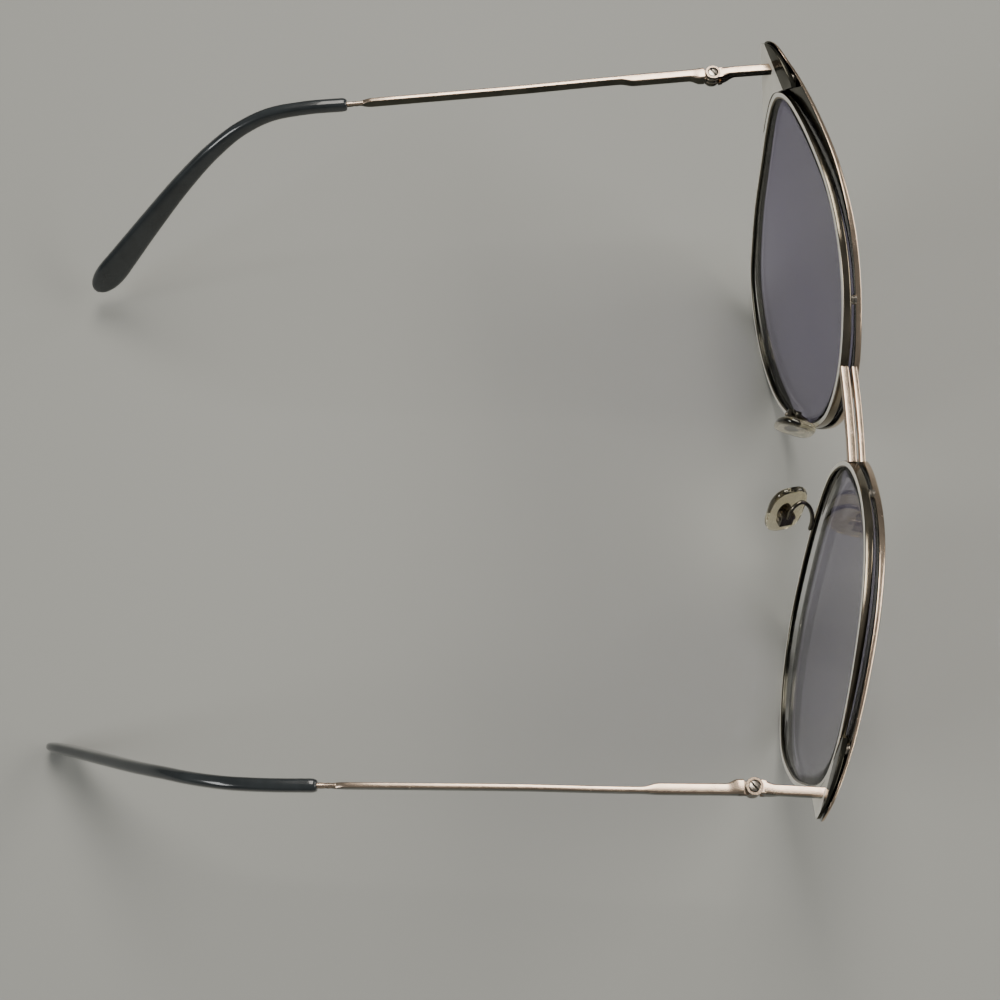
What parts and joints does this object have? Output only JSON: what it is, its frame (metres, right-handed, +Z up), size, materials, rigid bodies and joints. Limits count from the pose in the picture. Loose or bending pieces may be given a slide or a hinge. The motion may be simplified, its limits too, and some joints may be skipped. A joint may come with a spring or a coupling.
{
  "type": "clip on sunglasses",
  "caption": "Metal cat-eye spectacles with clear lenses, folding temples and a magnetic clip-on front of grey gradient sun lenses.",
  "frame": {"origin": "Middle of the overall box in plan, on the surface that the rims and temple tips rest on.", "axes": "+X to the wearer's left, +Y to the rear along the open temples, +Z up. The front faces -Y."},
  "size_m": [0.1474, 0.1467, 0.0608],
  "materials": {
    "pale_gold_metal": "polished pale gold plating",
    "screw_steel": "satin",
    "magnet": "polished nickel plating",
    "clear_lens": "polished",
    "grey_lens": "polished, gradient tint",
    "tip_slate": "gloss",
    "pad_silicone": "clear silicone, amber tint"
  },
  "bodies": {
    "frame": {"base_rim_right": "pale_gold_metal", "base_rim_left": "pale_gold_metal", "base_bridge": "pale_gold_metal", "corner_plate_right": "pale_gold_metal", "corner_plate_left": "pale_gold_metal", "endpiece_right": "pale_gold_metal", "endpiece_left": "pale_gold_metal", "lens_clear_right": "clear_lens", "lens_clear_left": "clear_lens", "pad_arm_right": "pale_gold_metal", "pad_arm_left": "pale_gold_metal", "pad_box_right": "pale_gold_metal", "pad_box_left": "pale_gold_metal", "pad_screw_right": "screw_steel", "pad_screw_left": "screw_steel", "hinge_screw_right": "screw_steel", "hinge_screw_left": "screw_steel", "base_magnets_right": "magnet", "base_magnets_left": "magnet"},
    "right_temple": {"temple_right": "pale_gold_metal", "temple_tip_right": "tip_slate"},
    "left_temple": {"temple_left": "pale_gold_metal", "temple_tip_left": "tip_slate"},
    "clip_on": {"clip_front_right": "pale_gold_metal", "clip_front_left": "pale_gold_metal", "clip_bridge": "pale_gold_metal", "clip_lens_right": "grey_lens", "clip_lens_left": "grey_lens", "clip_magnets_right": "magnet", "clip_magnets_left": "magnet"},
    "right_nose_pad": {"nose_pad_right": "pad_silicone"},
    "left_nose_pad": {"nose_pad_left": "pad_silicone"}
  },
  "joints": [
    {"name": "right_temple_hinge", "type": "hinge", "parent": "frame", "child": "right_temple", "pos_m": [-0.068, -0.0487, 0.0501], "axis": [0, 0, 1], "range_deg": [-80, 0]},
    {"name": "left_temple_hinge", "type": "hinge", "parent": "frame", "child": "left_temple", "pos_m": [0.068, -0.0487, 0.0501], "axis": [0, 0, 1], "range_deg": [0, 82]},
    {"name": "clip_on_pull", "type": "slide", "parent": "frame", "child": "clip_on", "axis": [0, -1, 0], "range_m": [0, 0.025]},
    {"name": "right_pad_rock", "type": "hinge", "parent": "frame", "child": "right_nose_pad", "pos_m": [-0.01009, -0.06434, 0.02138], "axis": [-0.2448, 0.9644, 0.1], "range_deg": [-8, 8]},
    {"name": "left_pad_rock", "type": "hinge", "parent": "frame", "child": "left_nose_pad", "pos_m": [0.00949, -0.06624, 0.02498], "axis": [0.2756, 0.9613, 0], "range_deg": [-8, 8]}
  ]
}
